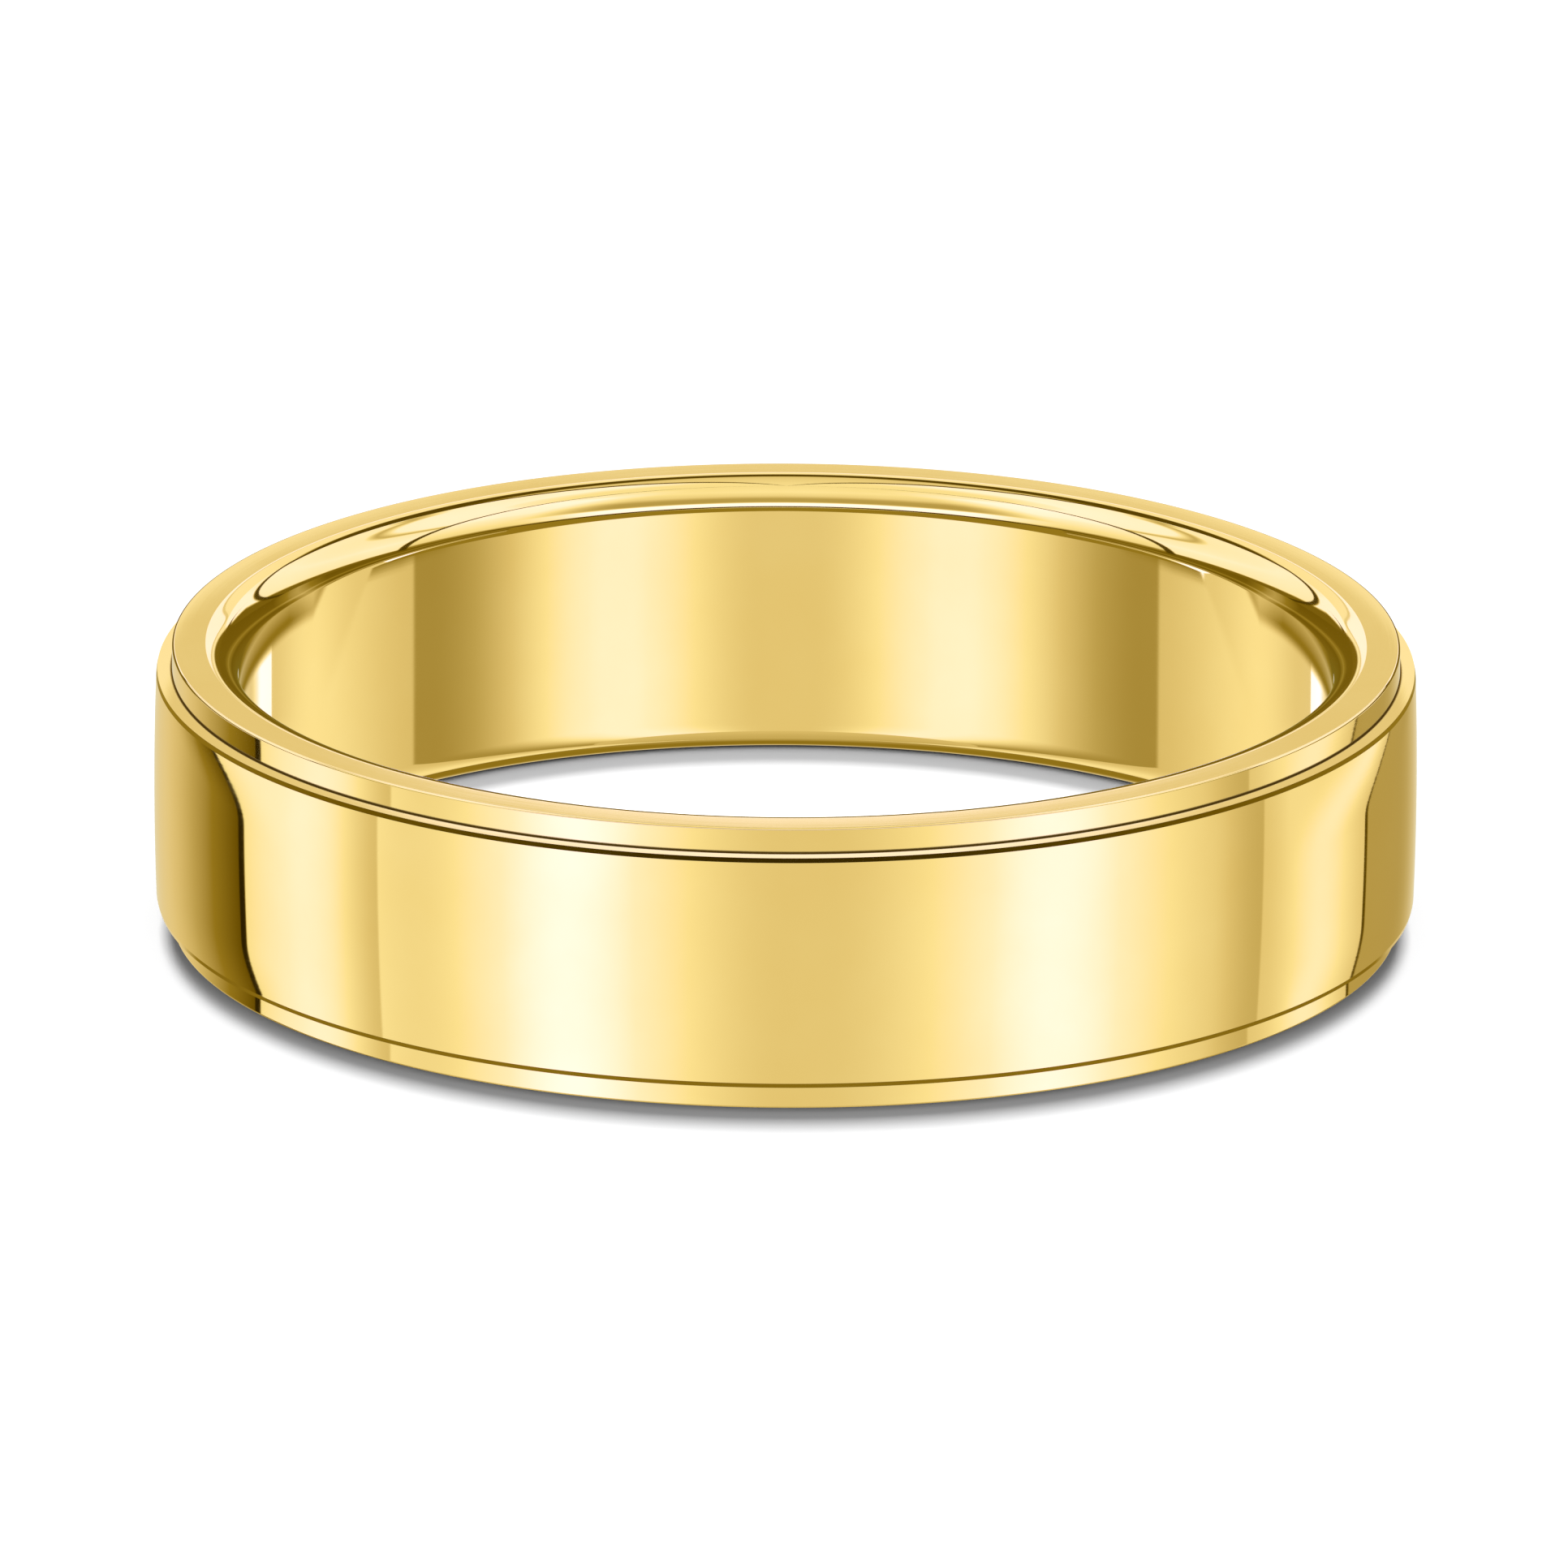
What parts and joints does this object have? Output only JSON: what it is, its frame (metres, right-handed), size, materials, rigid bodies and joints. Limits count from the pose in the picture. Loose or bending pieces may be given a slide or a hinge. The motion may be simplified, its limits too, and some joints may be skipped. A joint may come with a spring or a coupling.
{
  "type": "wedding band",
  "caption": "Plain polished yellow gold wedding band with a raised centre, lower stepped edges and a comfort-fit bore.",
  "frame": {"origin": "centre of the lower rim, on the finger axis, at the surface the band rests on", "axes": "+Z along the finger axis, up through the upper rim; X and Y lie in the plane of the lower rim and are alike"},
  "size_m": [0.0218, 0.0218, 0.005],
  "materials": {
    "sleeve_gold": "high polish yellow gold",
    "centre_gold": "high polish yellow gold"
  },
  "bodies": {
    "root": {"inner_sleeve": "sleeve_gold", "centre_band": "centre_gold"}
  },
  "joints": []
}
